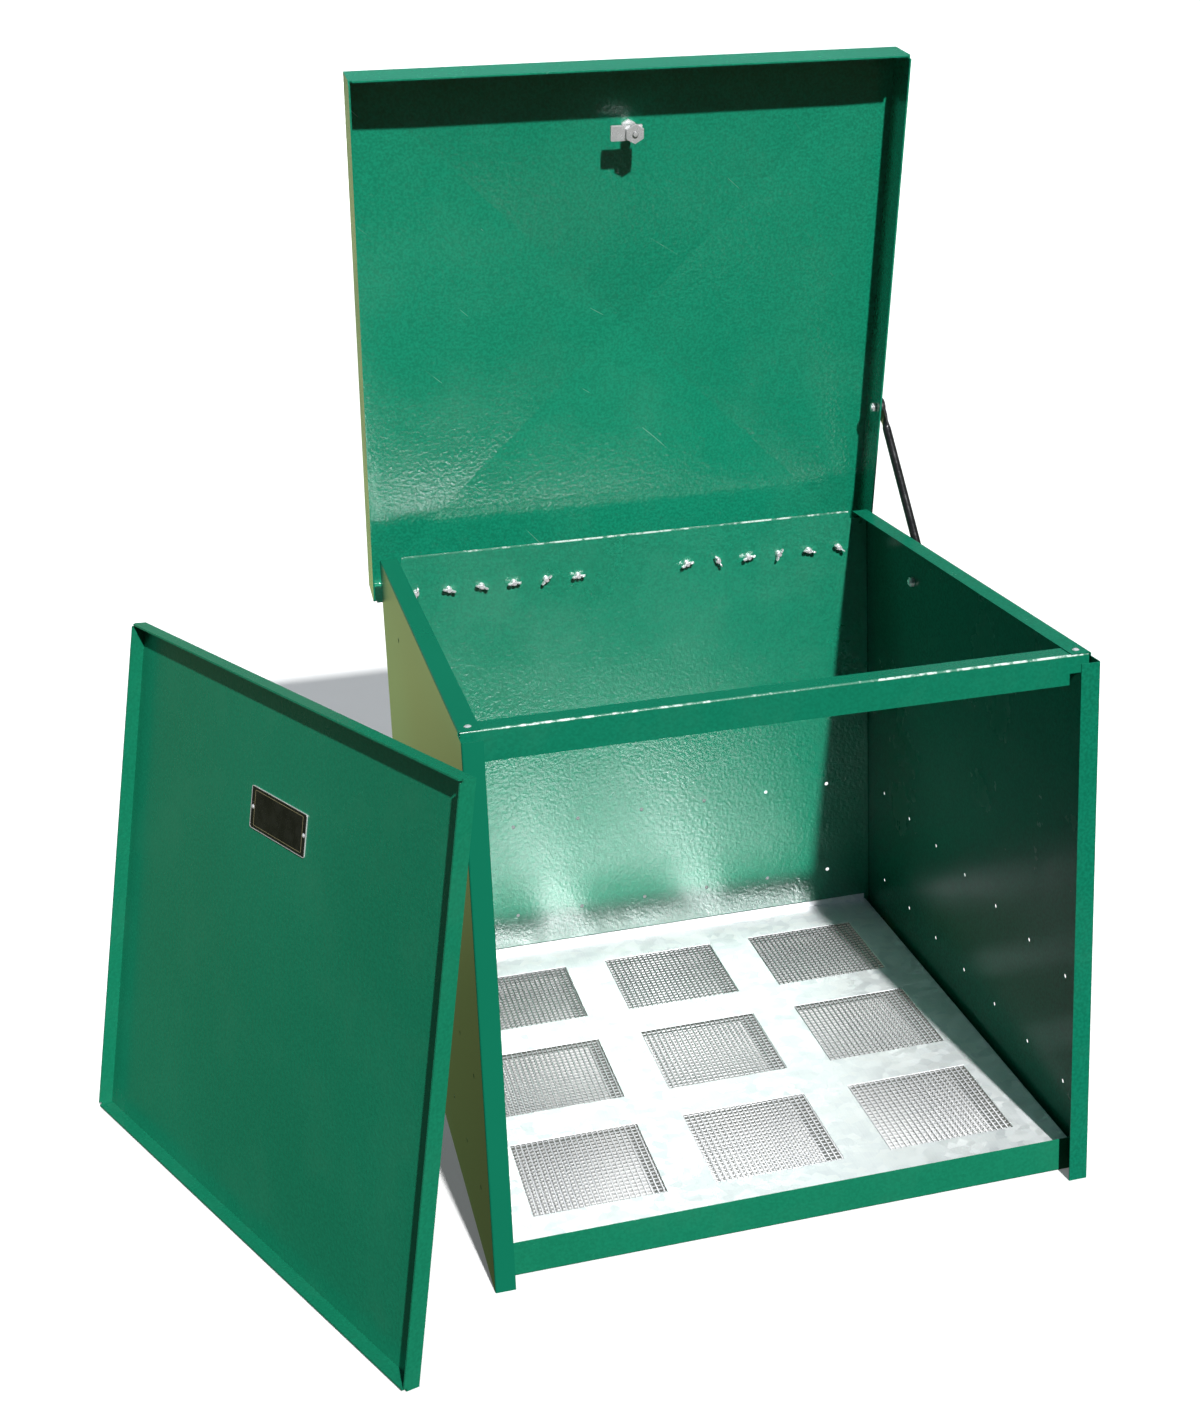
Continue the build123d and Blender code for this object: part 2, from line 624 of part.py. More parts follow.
# Lid: a folded tray whose panel rises to a low pyramid along its cross break
with BuildPart() as lid_panel:
    for inset, action in ((0, Mode.ADD), (SHEET, Mode.SUBTRACT)):
        with BuildSketch(LID.offset(lid_edge)):
            with Locations((0, lid_middle)):
                Rectangle(2 * (lid_half - inset), lid_length - 2 * inset)
        extrude(amount=LID_FLANGE - inset, mode=action)
        with BuildSketch(LID.offset(lid_top - inset)):
            with Locations((0, lid_middle)):
                Rectangle(2 * (lid_half - inset), lid_length - 2 * inset)
        with BuildSketch(LID.offset(lid_top - inset + LID_CROWN)):
            with Locations((0, lid_middle)):
                Rectangle(LID_CROWN_TIP, LID_CROWN_TIP)
        loft(mode=action)
    with BuildSketch(LID.offset(lid_edge)):
        with Locations((0, lid_middle)):
            Rectangle(2 * (lid_half - SHEET), lid_length - 2 * SHEET)
        with Locations((0, lid_middle + SHEET / 2)):
            Rectangle(2 * (lid_half - 2 * SHEET), lid_length - 3 * SHEET, mode=Mode.SUBTRACT)
    extrude(amount=LID_HEM)
    with BuildSketch(LID.offset(lid_edge)):
        with Locations((0, lid_middle)):
            with GridLocations(2 * lid_half, lid_length, 2, 2):
                Rectangle(2 * LID_NOTCH, 2 * LID_NOTCH)
    extrude(amount=LID_NOTCH, mode=Mode.SUBTRACT)
    with BuildSketch(lid_across(lid_rear)):
        with Locations((-hinge_centre, LEAF_RIVET_HEIGHT), (hinge_centre, LEAF_RIVET_HEIGHT)):
            with GridLocations(LEAF_RIVET_PITCH, 1, LEAF_RIVET_COUNT, 1):
                Circle(RIVET_RADIUS + RIVET_PLAY)
    extrude(amount=1.5 * SHEET, mode=Mode.SUBTRACT)
    with BuildSketch(lid_flank(lid_half)):
        with Locations((stud_y, stud_z)):
            Circle(STAY_BOLT_RADIUS + PIN_PLAY)
    extrude(amount=-1.5 * SHEET, mode=Mode.SUBTRACT)
    with BuildSketch(LID.offset(lid_top + LID_CROWN)):
        with Locations((0, latch_y)):
            Circle(LATCH_BARREL_RADIUS + LATCH_SEAT)
    extrude(amount=-LID_CROWN - 2 * SHEET, mode=Mode.SUBTRACT)
lid_panel.part.label = "lid_panel"
export_step(lid_panel.part, "parts/lid_panel.step")

lid_back = Plane(LID.from_local_coords((0, lid_rear, 0)), x_dir=-LID.x_dir, z_dir=LID.y_dir)
leaf_rivet = rivet(RIVET_HEAD_RADIUS, RIVET_RADIUS, SHEET + LEAF)
with BuildPart() as lid_leaf_rivets:
    with Locations(lid_back):
        with Locations((-hinge_centre, LEAF_RIVET_HEIGHT), (hinge_centre, LEAF_RIVET_HEIGHT)):
            with GridLocations(LEAF_RIVET_PITCH, 1, LEAF_RIVET_COUNT, 1):
                add(leaf_rivet)
lid_leaf_rivets.part.label = "lid_leaf_rivets"
export_step(lid_leaf_rivets.part, "parts/lid_leaf_rivets.step")

# Stud on the lid's right flange, which the stay hooks, and its nut inside the flange
nut_in = lid_half - SHEET - STAY_NUT
with BuildPart() as stay_stud:
    with BuildSketch(lid_flank(nut_in - STAY_HEAD / 2)):
        with Locations((stud_y, stud_z)):
            Circle(STAY_BOLT_RADIUS)
    extrude(amount=stay_face_out + FIT + STAY_HEAD - nut_in)
    with BuildSketch(lid_flank(lid_half)):
        with Locations((stud_y, stud_z)):
            Circle(STAY_SPACER_RADIUS)
    extrude(amount=stay_face_in - FIT - lid_half)
    with BuildSketch(lid_flank(stay_face_out + FIT)):
        with Locations((stud_y, stud_z)):
            Circle(STAY_HEAD_RADIUS)
    extrude(amount=STAY_HEAD, taper=20)
stay_stud.part.label = "stay_stud"
export_step(stay_stud.part, "parts/stay_stud.step")

with BuildPart() as stay_stud_nut:
    with BuildSketch(lid_flank(nut_in)):
        with Locations((stud_y, stud_z)):
            RegularPolygon(STAY_NUT_FLATS / 2, 6, major_radius=False)
            Circle(STAY_BOLT_RADIUS + PIN_PLAY, mode=Mode.SUBTRACT)
    extrude(amount=STAY_NUT)
stay_stud_nut.part.label = "stay_stud_nut"
export_step(stay_stud_nut.part, "parts/stay_stud_nut.step")

# Stay: a round bar with a flattened eye below and a flattened open hook above
stud_spot = LID.from_local_coords((stay_out, stud_y, stud_z))
stay_foot = Vector(BIN_X + stay_out, BIN_Y + STAY_BACK, stay_height)
stay_length = (stud_spot - stay_foot).length
STAY = Plane(stay_foot, x_dir=stud_spot - stay_foot, z_dir=(1, 0, 0))


def along_stay(x):
    """Plane square to the stay, x up from its pivot."""
    return Plane(STAY.from_local_coords((x, 0, 0)), x_dir=STAY.y_dir, z_dir=STAY.x_dir)


hook_start = stay_length - STAY_EYE_LENGTH
with BuildPart() as lid_stay:
    with BuildSketch(STAY):
        Circle(STAY_EYE)
        with Locations((STAY_EYE_LENGTH / 2, 0)):
            Rectangle(STAY_EYE_LENGTH, 2 * STAY_EYE)
        with Locations((stay_length, 0)):
            Circle(STAY_HOOK)
        with Locations((stay_length - STAY_EYE_LENGTH / 2, 0)):
            Rectangle(STAY_EYE_LENGTH, 2 * STAY_EYE)
        Circle(STAY_BOLT_RADIUS + PIN_PLAY, mode=Mode.SUBTRACT)
        with Locations(Location((stay_length, 0), STAY_HOOK_TURN)):
            Circle(STUD_SLOT / 2, mode=Mode.SUBTRACT)
            with Locations((STAY_HOOK, 0)):
                Rectangle(2 * STAY_HOOK, STUD_SLOT, mode=Mode.SUBTRACT)
    extrude(amount=STAY_PLATE / 2, both=True)
    with BuildSketch(along_stay(STAY_EYE_LENGTH)):
        Rectangle(2 * STAY_EYE, STAY_PLATE)
    with BuildSketch(along_stay(STAY_EYE_LENGTH + STAY_TAPER)):
        Circle(STAY_RADIUS)
    loft()
    with BuildSketch(along_stay(STAY_EYE_LENGTH + STAY_TAPER)):
        Circle(STAY_RADIUS)
    extrude(amount=stay_length - 2 * STAY_EYE_LENGTH - 2 * STAY_TAPER)
    with BuildSketch(along_stay(hook_start - STAY_TAPER)):
        Circle(STAY_RADIUS)
    with BuildSketch(along_stay(hook_start)):
        Rectangle(2 * STAY_EYE, STAY_PLATE)
    loft()
lid_stay.part.label = "lid_stay"
export_step(lid_stay.part, "parts/lid_stay.step")

# Pivot bolt, spacer and nut that carry the stay on the right side panel
with BuildPart() as stay_bolt:
    with BuildSketch(flank(half_width - SHEET - STAY_NUT - BOLT_TAIL)):
        with Locations((STAY_BACK, stay_height)):
            Circle(STAY_BOLT_RADIUS)
    extrude(amount=STAY_OFFSET + STAY_PLATE / 2 + FIT + SHEET + STAY_NUT + BOLT_TAIL)
    with BuildSketch(flank(stay_face_out + FIT)):
        with Locations((STAY_BACK, stay_height)):
            Circle(STAY_HEAD_RADIUS)
    extrude(amount=STAY_HEAD, taper=20)
stay_bolt.part.label = "stay_bolt"
export_step(stay_bolt.part, "parts/stay_bolt.step")

with BuildPart() as stay_spacer:
    with BuildSketch(flank(half_width)):
        with Locations((STAY_BACK, stay_height)):
            Circle(STAY_SPACER_RADIUS)
            Circle(STAY_BOLT_RADIUS + PIN_PLAY, mode=Mode.SUBTRACT)
    extrude(amount=STAY_OFFSET - STAY_PLATE / 2 - FIT)
stay_spacer.part.label = "stay_spacer"
export_step(stay_spacer.part, "parts/stay_spacer.step")

with BuildPart() as stay_nut:
    with BuildSketch(flank(half_width - SHEET)):
        with Locations((STAY_BACK, stay_height)):
            RegularPolygon(STAY_NUT_FLATS / 2, 6, major_radius=False)
            Circle(STAY_BOLT_RADIUS + PIN_PLAY, mode=Mode.SUBTRACT)
    extrude(amount=-STAY_NUT)
stay_nut.part.label = "stay_nut"
export_step(stay_nut.part, "parts/stay_nut.step")

# Latch: a threaded barrel clamps in the lid, and a handle outside turns the cam inside
with BuildPart() as latch_barrel:
    with BuildSketch(LID.offset(latch_over)):
        with Locations((0, latch_y)):
            Circle(LATCH_BEZEL_RADIUS)
    extrude(amount=LATCH_BEZEL)
    with BuildSketch(LID.offset(lid_under - LATCH_BARREL)):
        with Locations((0, latch_y)):
            Circle(LATCH_BARREL_RADIUS)
    extrude(amount=latch_over + LATCH_BEZEL - lid_under + LATCH_BARREL)
    with BuildSketch(LID.offset(latch_over + LATCH_BEZEL)):
        with Locations((0, latch_y)):
            Circle(LATCH_SPINDLE_RADIUS + PIN_PLAY)
    extrude(amount=-2 * LATCH_BARREL - LATCH_BEZEL, mode=Mode.SUBTRACT)
latch_barrel.part.label = "latch_barrel"
export_step(latch_barrel.part, "parts/latch_barrel.step")

with BuildPart() as latch_barrel_nut:
    with BuildSketch(LID.offset(latch_under)):
        with Locations((0, latch_y)):
            RegularPolygon(LATCH_NUT_FLATS / 2, 6, major_radius=False, rotation=30)
            Circle(LATCH_BARREL_RADIUS + RIVET_PLAY, mode=Mode.SUBTRACT)
    extrude(amount=-LATCH_NUT)
latch_barrel_nut.part.label = "latch_barrel_nut"
export_step(latch_barrel_nut.part, "parts/latch_barrel_nut.step")

handle_base = latch_over + LATCH_BEZEL + FIT
with BuildPart() as latch_handle:
    with BuildSketch(LID.offset(handle_base)):
        with Locations((0, latch_y)):
            Circle(HANDLE_HUB_RADIUS)
    extrude(amount=HANDLE_RISE / 2)
    with BuildSketch(LID.offset(handle_base + HANDLE_RISE / 2)):
        with Locations((0, latch_y)):
            SlotOverall(HANDLE_LENGTH, HANDLE_WIDTH)
    extrude(amount=HANDLE_RISE / 2, taper=10)
    with BuildSketch(LID.offset(handle_base)):
        with Locations((0, latch_y)):
            Circle(LATCH_SPINDLE_RADIUS)
    extrude(amount=cam_top - CAM - CAM_NUT - BOLT_TAIL - handle_base)
latch_handle.part.label = "latch_handle"
export_step(latch_handle.part, "parts/latch_handle.step")

with BuildPart() as latch_cam:
    with BuildSketch(LID.offset(cam_top)):
        with Locations(((CAM_HEEL - CAM_REACH) / 2, latch_y)):
            Rectangle(CAM_REACH + CAM_HEEL, CAM_WIDTH)
        with Locations((0, latch_y)):
            Circle(LATCH_SPINDLE_RADIUS + PIN_PLAY, mode=Mode.SUBTRACT)
    extrude(amount=-CAM)
    fillet(latch_cam.edges().filter_by(LID_UP).group_by(Axis.X)[0], radius=CAM / 2)
latch_cam.part.label = "latch_cam"
export_step(latch_cam.part, "parts/latch_cam.step")

with BuildPart() as latch_cam_nut:
    with BuildSketch(LID.offset(cam_top - CAM)):
        with Locations((0, latch_y)):
            RegularPolygon(CAM_NUT_FLATS / 2, 6, major_radius=False, rotation=30)
            Circle(LATCH_SPINDLE_RADIUS + PIN_PLAY, mode=Mode.SUBTRACT)
    extrude(amount=-CAM_NUT)
latch_cam_nut.part.label = "latch_cam_nut"
export_step(latch_cam_nut.part, "parts/latch_cam_nut.step")

# Door frame: its foot lies on the ground and its back clears the closed lid's corner
yaw = radians(DOOR_YAW)
lean = radians(DOOR_LEAN)
door_along = Vector(-sin(yaw), cos(yaw), 0)
door_in = Vector(cos(yaw), sin(yaw), 0)
door_top = door_height * cos(lean) + door_flange * sin(lean)
lid_corner = Vector(BIN_X - lid_half, BIN_Y + pin_back + lid_front, 0)
door_foot = (
    lid_corner
    - door_in * ((DOOR_CLEAR + door_top * sin(lean)) / cos(lean))
    + door_along * (door_width / 2 - DOOR_AHEAD)
)
DOOR = Plane(
    door_foot,
    x_dir=-door_along,
    z_dir=Vector(0, 0, sin(lean)) - door_in * cos(lean),
)
DOOR_OUT = Axis(DOOR.origin, DOOR.z_dir)

# Door: a shallow folded tray, open to the outside, with hemmed flanges
with BuildPart() as door_panel:
    with BuildSketch(DOOR):
        with Locations((0, door_height / 2)):
            Rectangle(door_width, door_height)
    extrude(amount=door_flange)
    offset(amount=-SHEET, openings=door_panel.faces().sort_by(DOOR_OUT)[-1])
    with BuildSketch(DOOR.offset(door_flange)):
        with Locations((0, door_height / 2)):
            Rectangle(door_width - 2 * SHEET, door_height - 2 * SHEET)
            Rectangle(door_width - 4 * SHEET, door_height - 4 * SHEET, mode=Mode.SUBTRACT)
    extrude(amount=-DOOR_HEM)
    with BuildSketch(DOOR.offset(door_flange)):
        with Locations((0, door_height / 2)):
            with GridLocations(door_width, door_height, 2, 2):
                Rectangle(2 * DOOR_NOTCH, 2 * DOOR_NOTCH)
    extrude(amount=-DOOR_NOTCH, mode=Mode.SUBTRACT)
    with BuildSketch(DOOR):
        with Locations((0, plate_rise)):
            with GridLocations(PLATE_RIVET_SPAN, 1, 2, 1):
                Circle(PLATE_RIVET_RADIUS + RIVET_PLAY)
    extrude(amount=2 * SHEET, mode=Mode.SUBTRACT)
door_panel.part.label = "door_panel"
export_step(door_panel.part, "parts/door_panel.step")

# Name plate, left bare, on two small rivets
with BuildPart() as name_plate:
    with BuildSketch(DOOR.offset(SHEET)):
        with Locations((0, plate_rise)):
            RectangleRounded(PLATE_WIDTH, PLATE_HEIGHT, PLATE_CORNER)
            with GridLocations(PLATE_RIVET_SPAN, 1, 2, 1):
                Circle(PLATE_RIVET_RADIUS + RIVET_PLAY, mode=Mode.SUBTRACT)
    extrude(amount=PLATE_SHEET)
name_plate.part.label = "name_plate"
export_step(name_plate.part, "parts/name_plate.step")

plate_rivet = rivet(PLATE_RIVET_HEAD_RADIUS, PLATE_RIVET_RADIUS, SHEET + PLATE_SHEET)
with BuildPart() as name_plate_rivets:
    with Locations(DOOR.offset(SHEET + PLATE_SHEET)):
        with Locations((0, plate_rise)):
            with GridLocations(PLATE_RIVET_SPAN, 1, 2, 1):
                add(plate_rivet)
name_plate_rivets.part.label = "name_plate_rivets"
export_step(name_plate_rivets.part, "parts/name_plate_rivets.step")
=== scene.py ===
import json
import math

import bmesh
import bpy
from mathutils import Matrix, Vector


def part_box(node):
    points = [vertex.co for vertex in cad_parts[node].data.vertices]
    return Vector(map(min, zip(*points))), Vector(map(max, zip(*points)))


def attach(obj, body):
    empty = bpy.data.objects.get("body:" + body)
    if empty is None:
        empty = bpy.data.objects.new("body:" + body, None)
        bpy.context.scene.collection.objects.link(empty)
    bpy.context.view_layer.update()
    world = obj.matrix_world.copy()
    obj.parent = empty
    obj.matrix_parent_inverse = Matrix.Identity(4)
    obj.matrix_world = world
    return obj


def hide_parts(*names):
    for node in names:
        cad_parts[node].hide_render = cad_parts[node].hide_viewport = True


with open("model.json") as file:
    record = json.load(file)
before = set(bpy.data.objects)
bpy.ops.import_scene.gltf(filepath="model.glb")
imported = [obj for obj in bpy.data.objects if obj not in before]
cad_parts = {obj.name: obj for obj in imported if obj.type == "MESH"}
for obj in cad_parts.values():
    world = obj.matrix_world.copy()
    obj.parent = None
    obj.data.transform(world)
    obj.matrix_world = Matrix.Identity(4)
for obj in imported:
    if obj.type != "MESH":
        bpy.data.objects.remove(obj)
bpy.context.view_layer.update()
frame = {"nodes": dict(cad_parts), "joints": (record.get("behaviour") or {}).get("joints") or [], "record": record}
nodes = frame["nodes"]
scene = bpy.context.scene

# Lengths are in metres. A noise's scale is its number of features per metre.


def joint(name):
    return next(j for j in frame["joints"] if j["name"] == name)


# ---- Node helpers

# Colour sockets of a Mix node, which has others of the same names
MIX_FACTOR, MIX_A, MIX_B, MIX_RESULT = 0, 6, 7, 2


class Shade:
    """A material with a Principled shader and short calls for its texture nodes."""

    def __init__(self, name, **values):
        self.material = bpy.data.materials.new(name)
        self.material.use_nodes = True
        self.tree = self.material.node_tree
        self.shader = self.tree.nodes["Principled BSDF"]
        for socket, value in values.items():
            self.shader.inputs[socket.replace("_", " ")].default_value = value
        where = self.add("ShaderNodeTexCoord")
        self.place, self.facing = where.outputs["Object"], where.outputs["Normal"]

    def add(self, kind, **settings):
        node = self.tree.nodes.new(kind)
        for key, value in settings.items():
            setattr(node, key, value)
        return node

    def put(self, socket, value):
        """Links a socket, or sets a constant on it."""
        if isinstance(value, bpy.types.NodeSocket):
            self.tree.links.new(value, socket)
        else:
            socket.default_value = value

    def mapped(self, scale=(1, 1, 1), turn=(0, 0, 0), shift=(0, 0, 0), source=None):
        node = self.add("ShaderNodeMapping")
        self.put(node.inputs["Vector"], source or self.place)
        node.inputs["Location"].default_value = shift
        node.inputs["Rotation"].default_value = turn
        node.inputs["Scale"].default_value = scale
        return node.outputs[0]

    def noise(self, scale, detail=2.0, rough=0.5, source=None):
        node = self.add("ShaderNodeTexNoise")
        self.put(node.inputs["Vector"], source or self.place)
        node.inputs["Scale"].default_value = scale
        node.inputs["Detail"].default_value = detail
        node.inputs["Roughness"].default_value = rough
        return node.outputs["Fac"]

    def cells(self, scale, source):
        """Three random values for each cell of a foam."""
        node = self.add("ShaderNodeTexVoronoi")
        self.put(node.inputs["Vector"], source)
        node.inputs["Scale"].default_value = scale
        return self.split(node.outputs["Color"])

    def math(self, kind, a, b=0.0, c=0.0):
        node = self.add("ShaderNodeMath", operation=kind)
        for socket, value in zip(node.inputs, (a, b, c)):
            self.put(socket, value)
        return node.outputs[0]

    def span(self, value, low, high, to_low=0.0, to_high=1.0):
        """Maps low..high to to_low..to_high, clamped, with soft ends."""
        node = self.add("ShaderNodeMapRange", interpolation_type="SMOOTHSTEP")
        self.put(node.inputs["Value"], value)
        node.inputs["From Min"].default_value = low
        node.inputs["From Max"].default_value = high
        node.inputs["To Min"].default_value = to_low
        node.inputs["To Max"].default_value = to_high
        return node.outputs[0]

    def mix(self, factor, a, b):
        node = self.add("ShaderNodeMix", data_type="RGBA")
        self.put(node.inputs[MIX_FACTOR], factor)
        self.put(node.inputs[MIX_A], a)
        self.put(node.inputs[MIX_B], b)
        return node.outputs[MIX_RESULT]

    def split(self, source=None):
        node = self.add("ShaderNodeSeparateXYZ")
        self.put(node.inputs[0], source or self.place)
        return node.outputs

    def bump(self, height, depth, under=None):
        node = self.add("ShaderNodeBump")
        node.inputs["Distance"].default_value = depth
        self.put(node.inputs["Height"], height)
        if under is not None:
            self.put(node.inputs["Normal"], under)
        return node.outputs[0]

    def finish(self, colour, rough=None, normal=None, metal=None):
        for name, value in (
            ("Base Color", colour),
            ("Roughness", rough),
            ("Normal", normal),
            ("Metallic", metal),
        ):
            if value is not None:
                self.put(self.shader.inputs[name], value)
        return self.material


def rgb(r, g, b):
    return (r, g, b, 1.0)


def tinted(colour, tint):
    """A colour with each channel multiplied."""
    return rgb(*(c * t for c, t in zip(colour, tint)))


def grey(tone, tint=(1.0, 1.0, 1.0)):
    """A tone with a slight tint."""
    return rgb(*(tone * t for t in tint))


def scaled(colour, factor):
    return tuple(factor * c for c in colour)


# ---- Materials

BLACK = rgb(0.0, 0.0, 0.0)
DUST = rgb(0.16, 0.26, 0.19)
# Pale colour of edges: partly wear, partly a painted highlight on bends and hems
PALE_WEAR_AND_HIGHLIGHT = rgb(0.66, 0.74, 0.70)
SCRATCHED = rgb(0.30, 0.46, 0.38)
CHIPPED = rgb(0.3, 0.3, 0.29)

# Depths of bump
SHEET_WAVE = 0.0011
ORANGE_PEEL = 0.00055
CROSS_BREAK = 0.011
SPANGLE_RELIEF = 0.00022
PLATING_GRAIN = 0.00006
PAINT_PEEL = 0.00012

# The lid's dip towards its hinge, in cross breaks per square metre
HINGE_DIP = 7.5

# Two runs of scratches, each turned and moved its own way
SCRATCH_RUNS = (((0.3, 0.7, 0.5), (0.4, 1.3, 0.2)), ((-0.6, 0.2, 1.1), (2.4, 0.3, 1.2)))
SCRATCH_LINES = {"Scale": 2.6, "Distortion": 5.0, "Detail": 1.0, "Detail Scale": 0.6}


def wear_and_painted_highlight(s, base, share):
    """Coat made pale along an edge, partly as wear and partly as a painted highlight, whole in some lengths and
    broken in others.
    """
    lengths = s.math("MULTIPLY_ADD", s.noise(scale=5.0), 1.2, s.noise(scale=120.0))
    broken = s.span(lengths, 1.0, 1.25, to_low=0.06, to_high=0.8)
    return s.mix(s.math("MULTIPLY", share(s), broken), base, PALE_WEAR_AND_HIGHLIGHT)


def scratches(s):
    """Share of a few long thin lines that bend, seen only in patches."""
    marks = 0.0
    for turn, shift in SCRATCH_RUNS:
        lines = s.add("ShaderNodeTexWave", wave_type="BANDS")
        s.put(lines.inputs["Vector"], s.mapped(turn=turn, shift=shift))
        for socket, value in SCRATCH_LINES.items():
            lines.inputs[socket].default_value = value
        patch = s.span(s.noise(scale=11.0, source=s.mapped(shift=shift)), 0.62, 0.72)
        crest = s.span(lines.outputs["Fac"], 0.9996, 0.99995)
        marks = s.math("MULTIPLY_ADD", crest, patch, marks)
    return marks


def cross_break(s, lie, under):
    """Four shallow slopes that meet on a panel's diagonals, hollow inside and proud outside,
    and a slight dip of the sheet towards the hinge."""
    shift, turn, half_x, half_y = lie
    u, v, _ = s.split(s.mapped(turn=turn, source=s.mapped(shift=shift)))
    dip = s.math("MULTIPLY", s.math("POWER", s.math("MAXIMUM", v, 0.0), 2.0), HINGE_DIP)
    u, v = (s.math("DIVIDE", s.math("ABSOLUTE", a), b) for a, b in ((u, half_x), (v, half_y)))
    outside = s.split(s.mapped(turn=turn, source=s.facing))[2]
    inside = s.math("MULTIPLY", s.math("SIGN", outside), -1.0)
    slopes = s.math("SUBTRACT", s.math("MAXIMUM", u, v), dip)
    return s.bump(s.math("MULTIPLY", slopes, inside), CROSS_BREAK, under=under)


def powder_coat(
    name,
    colour,
    rough=0.27,
    shine=0.36,
    ior=1.5,
    relief=1.0,
    peel=1.0,
    pitch=230.0,
    grain=1.0,
    scratch=0.0,
    dust=0.03,
    edge_wear_and_highlight=None,
    painted_inner_shade=False,
    break_lie=None,
):
    """Glossy coat on folded sheet, with orange peel, slow waves of the sheet and a film of dust.

    The relief scales all bump but a cross break, peel only the orange peel, and pitch is the
    peel's scale. A function for the pale edge gives its share, partly wear and partly a painted
    highlight; the inner shade flag paints shade on the face that looks to -X, and break_lie
    says where a cross break lies.
    """
    s = Shade(name, Specular_IOR_Level=shine, IOR=ior)
    slow = s.noise(scale=2.3)
    cloud = s.noise(scale=9.0, detail=5.0, rough=0.6)
    speck = s.noise(scale=270.0, detail=1.0)
    thin, thick = tinted(colour, (0.9, 0.95, 0.94)), tinted(colour, (1.1, 1.05, 1.06))
    base = s.mix(s.span(slow, 0.3, 0.7), thin, thick)
    dark = s.mix(0.14 * grain, base, BLACK)
    light = s.mix(0.18 * grain, base, tinted(colour, (2.5, 1.7, 1.8)))
    base = s.mix(s.span(speck, 0.3, 0.7), dark, light)
    base = s.mix(s.span(cloud, 0.45, 0.8, to_high=dust), base, DUST)
    gloss = s.span(cloud, 0.3, 0.75, rough - 0.04 * grain, rough + 0.05 * grain)
    # Pale edge: partly wear, partly a painted highlight
    if edge_wear_and_highlight:
        base = wear_and_painted_highlight(s, base, edge_wear_and_highlight)
    # Painted shade: the face that looks to -X is painted darker
    if painted_inner_shade:
        inward = s.math("MULTIPLY", s.split(s.facing)[0], -1.0)
        base = s.mix(s.span(inward, 0.2, 0.6, to_high=0.38), base, BLACK)
    if scratch:
        marks = scratches(s)
        base = s.mix(s.math("MULTIPLY", marks, scratch), base, SCRATCHED)
        gloss = s.math("MULTIPLY_ADD", marks, 0.15, gloss)
    surface = s.bump(s.noise(scale=3.4, detail=1.0), SHEET_WAVE * relief)
    if break_lie:
        surface = cross_break(s, break_lie, under=surface)
    peeled = s.noise(scale=pitch, detail=1.0)
    return s.finish(base, gloss, s.bump(peeled, ORANGE_PEEL * relief * peel, under=surface))


def galvanised(name, tone, metal, rough, spangle=70.0):
    """Bare zinc-dipped sheet: angular spangle, faint rolling lines and dull white bloom."""
    s = Shade(name)
    uneven = s.noise(scale=40.0)
    crystal = s.cells(spangle, source=s.mapped(scale=(1.0, 1.25, 1.0)))
    bloom = s.noise(scale=7.0, detail=6.0, rough=0.62)
    rolled = s.noise(scale=1.0, source=s.mapped(scale=(900, 14, 14)))
    base = s.mix(crystal[0], grey(tone, (0.9, 0.915, 0.94)), grey(tone, (1.06, 1.065, 1.07)))
    base = s.mix(s.span(bloom, 0.4, 0.75, to_high=0.6), base, grey(tone, (1.12, 1.12, 1.11)))
    base = s.mix(s.span(rolled, 0.45, 0.75, to_high=0.16), base, grey(tone, (0.72, 0.74, 0.78)))
    polish = s.span(crystal[1], 0.0, 1.0, rough - 0.09, rough + 0.08)
    dull = s.math("ADD", polish, s.span(bloom, 0.4, 0.75, to_high=0.12))
    relief = s.math("ADD", s.math("MULTIPLY", crystal[2], 0.5), uneven)
    return s.finish(base, dull, s.bump(relief, SPANGLE_RELIEF), metal)


def plated(name, tone, rough, tint=(1.0, 1.0, 1.01)):
    """Bright plated steel with a fine grain and slight tarnish."""
    s = Shade(name, Metallic=0.65)
    cloud = s.noise(scale=120.0, detail=4.0, rough=0.6)
    base = s.mix(s.span(cloud, 0.35, 0.7), grey(tone, tint), grey(0.79 * tone, tint))
    gloss = s.span(cloud, 0.3, 0.75, rough - 0.07, rough + 0.1)
    return s.finish(base, gloss, s.bump(s.noise(scale=900.0), PLATING_GRAIN))


def black_paint(name, tone, rough, chip=0.5):
    """Dark paint with fine peel, dull scuffed spots and a few pale chips."""
    s = Shade(name)
    cloud = s.noise(scale=45.0, detail=4.0, rough=0.6)
    spot = s.noise(scale=260.0, detail=3.0, rough=0.6)
    base = s.mix(s.span(cloud, 0.35, 0.7), grey(0.7 * tone), grey(tone, (1.5, 1.5, 1.45)))
    base = s.mix(s.span(spot, 0.72, 0.8, to_high=chip), base, CHIPPED)
    gloss = s.span(cloud, 0.3, 0.75, rough - 0.06, rough + 0.1)
    return s.finish(base, gloss, s.bump(s.noise(scale=650.0), PAINT_PEEL))


# How far below an edge the pale edge, partly wear and partly a painted highlight, starts and is whole
EDGE_START, EDGE_WHOLE = 0.0023, 0.0011
CORNER_START_Y, CORNER_WHOLE_Y = 0.0026, 0.0012
CORNER_START_Z, CORNER_WHOLE_Z = 0.0028, 0.0014


def edge_above(height):
    """Share of pale edge near the top at a height, partly wear and partly a painted highlight."""
    return lambda s: s.span(s.split()[2], height - EDGE_START, height - EDGE_WHOLE)


def front_corner(front, height):
    """Share of pale edge where a front face meets a top, partly wear and partly a painted highlight."""

    def share(s):
        _, y, z = s.split()
        near_front = s.span(y, front + CORNER_START_Y, front + CORNER_WHOLE_Y)
        near_top = s.span(z, height - CORNER_START_Z, height - CORNER_WHOLE_Z)
        return s.math("MULTIPLY", near_front, near_top)

    return share


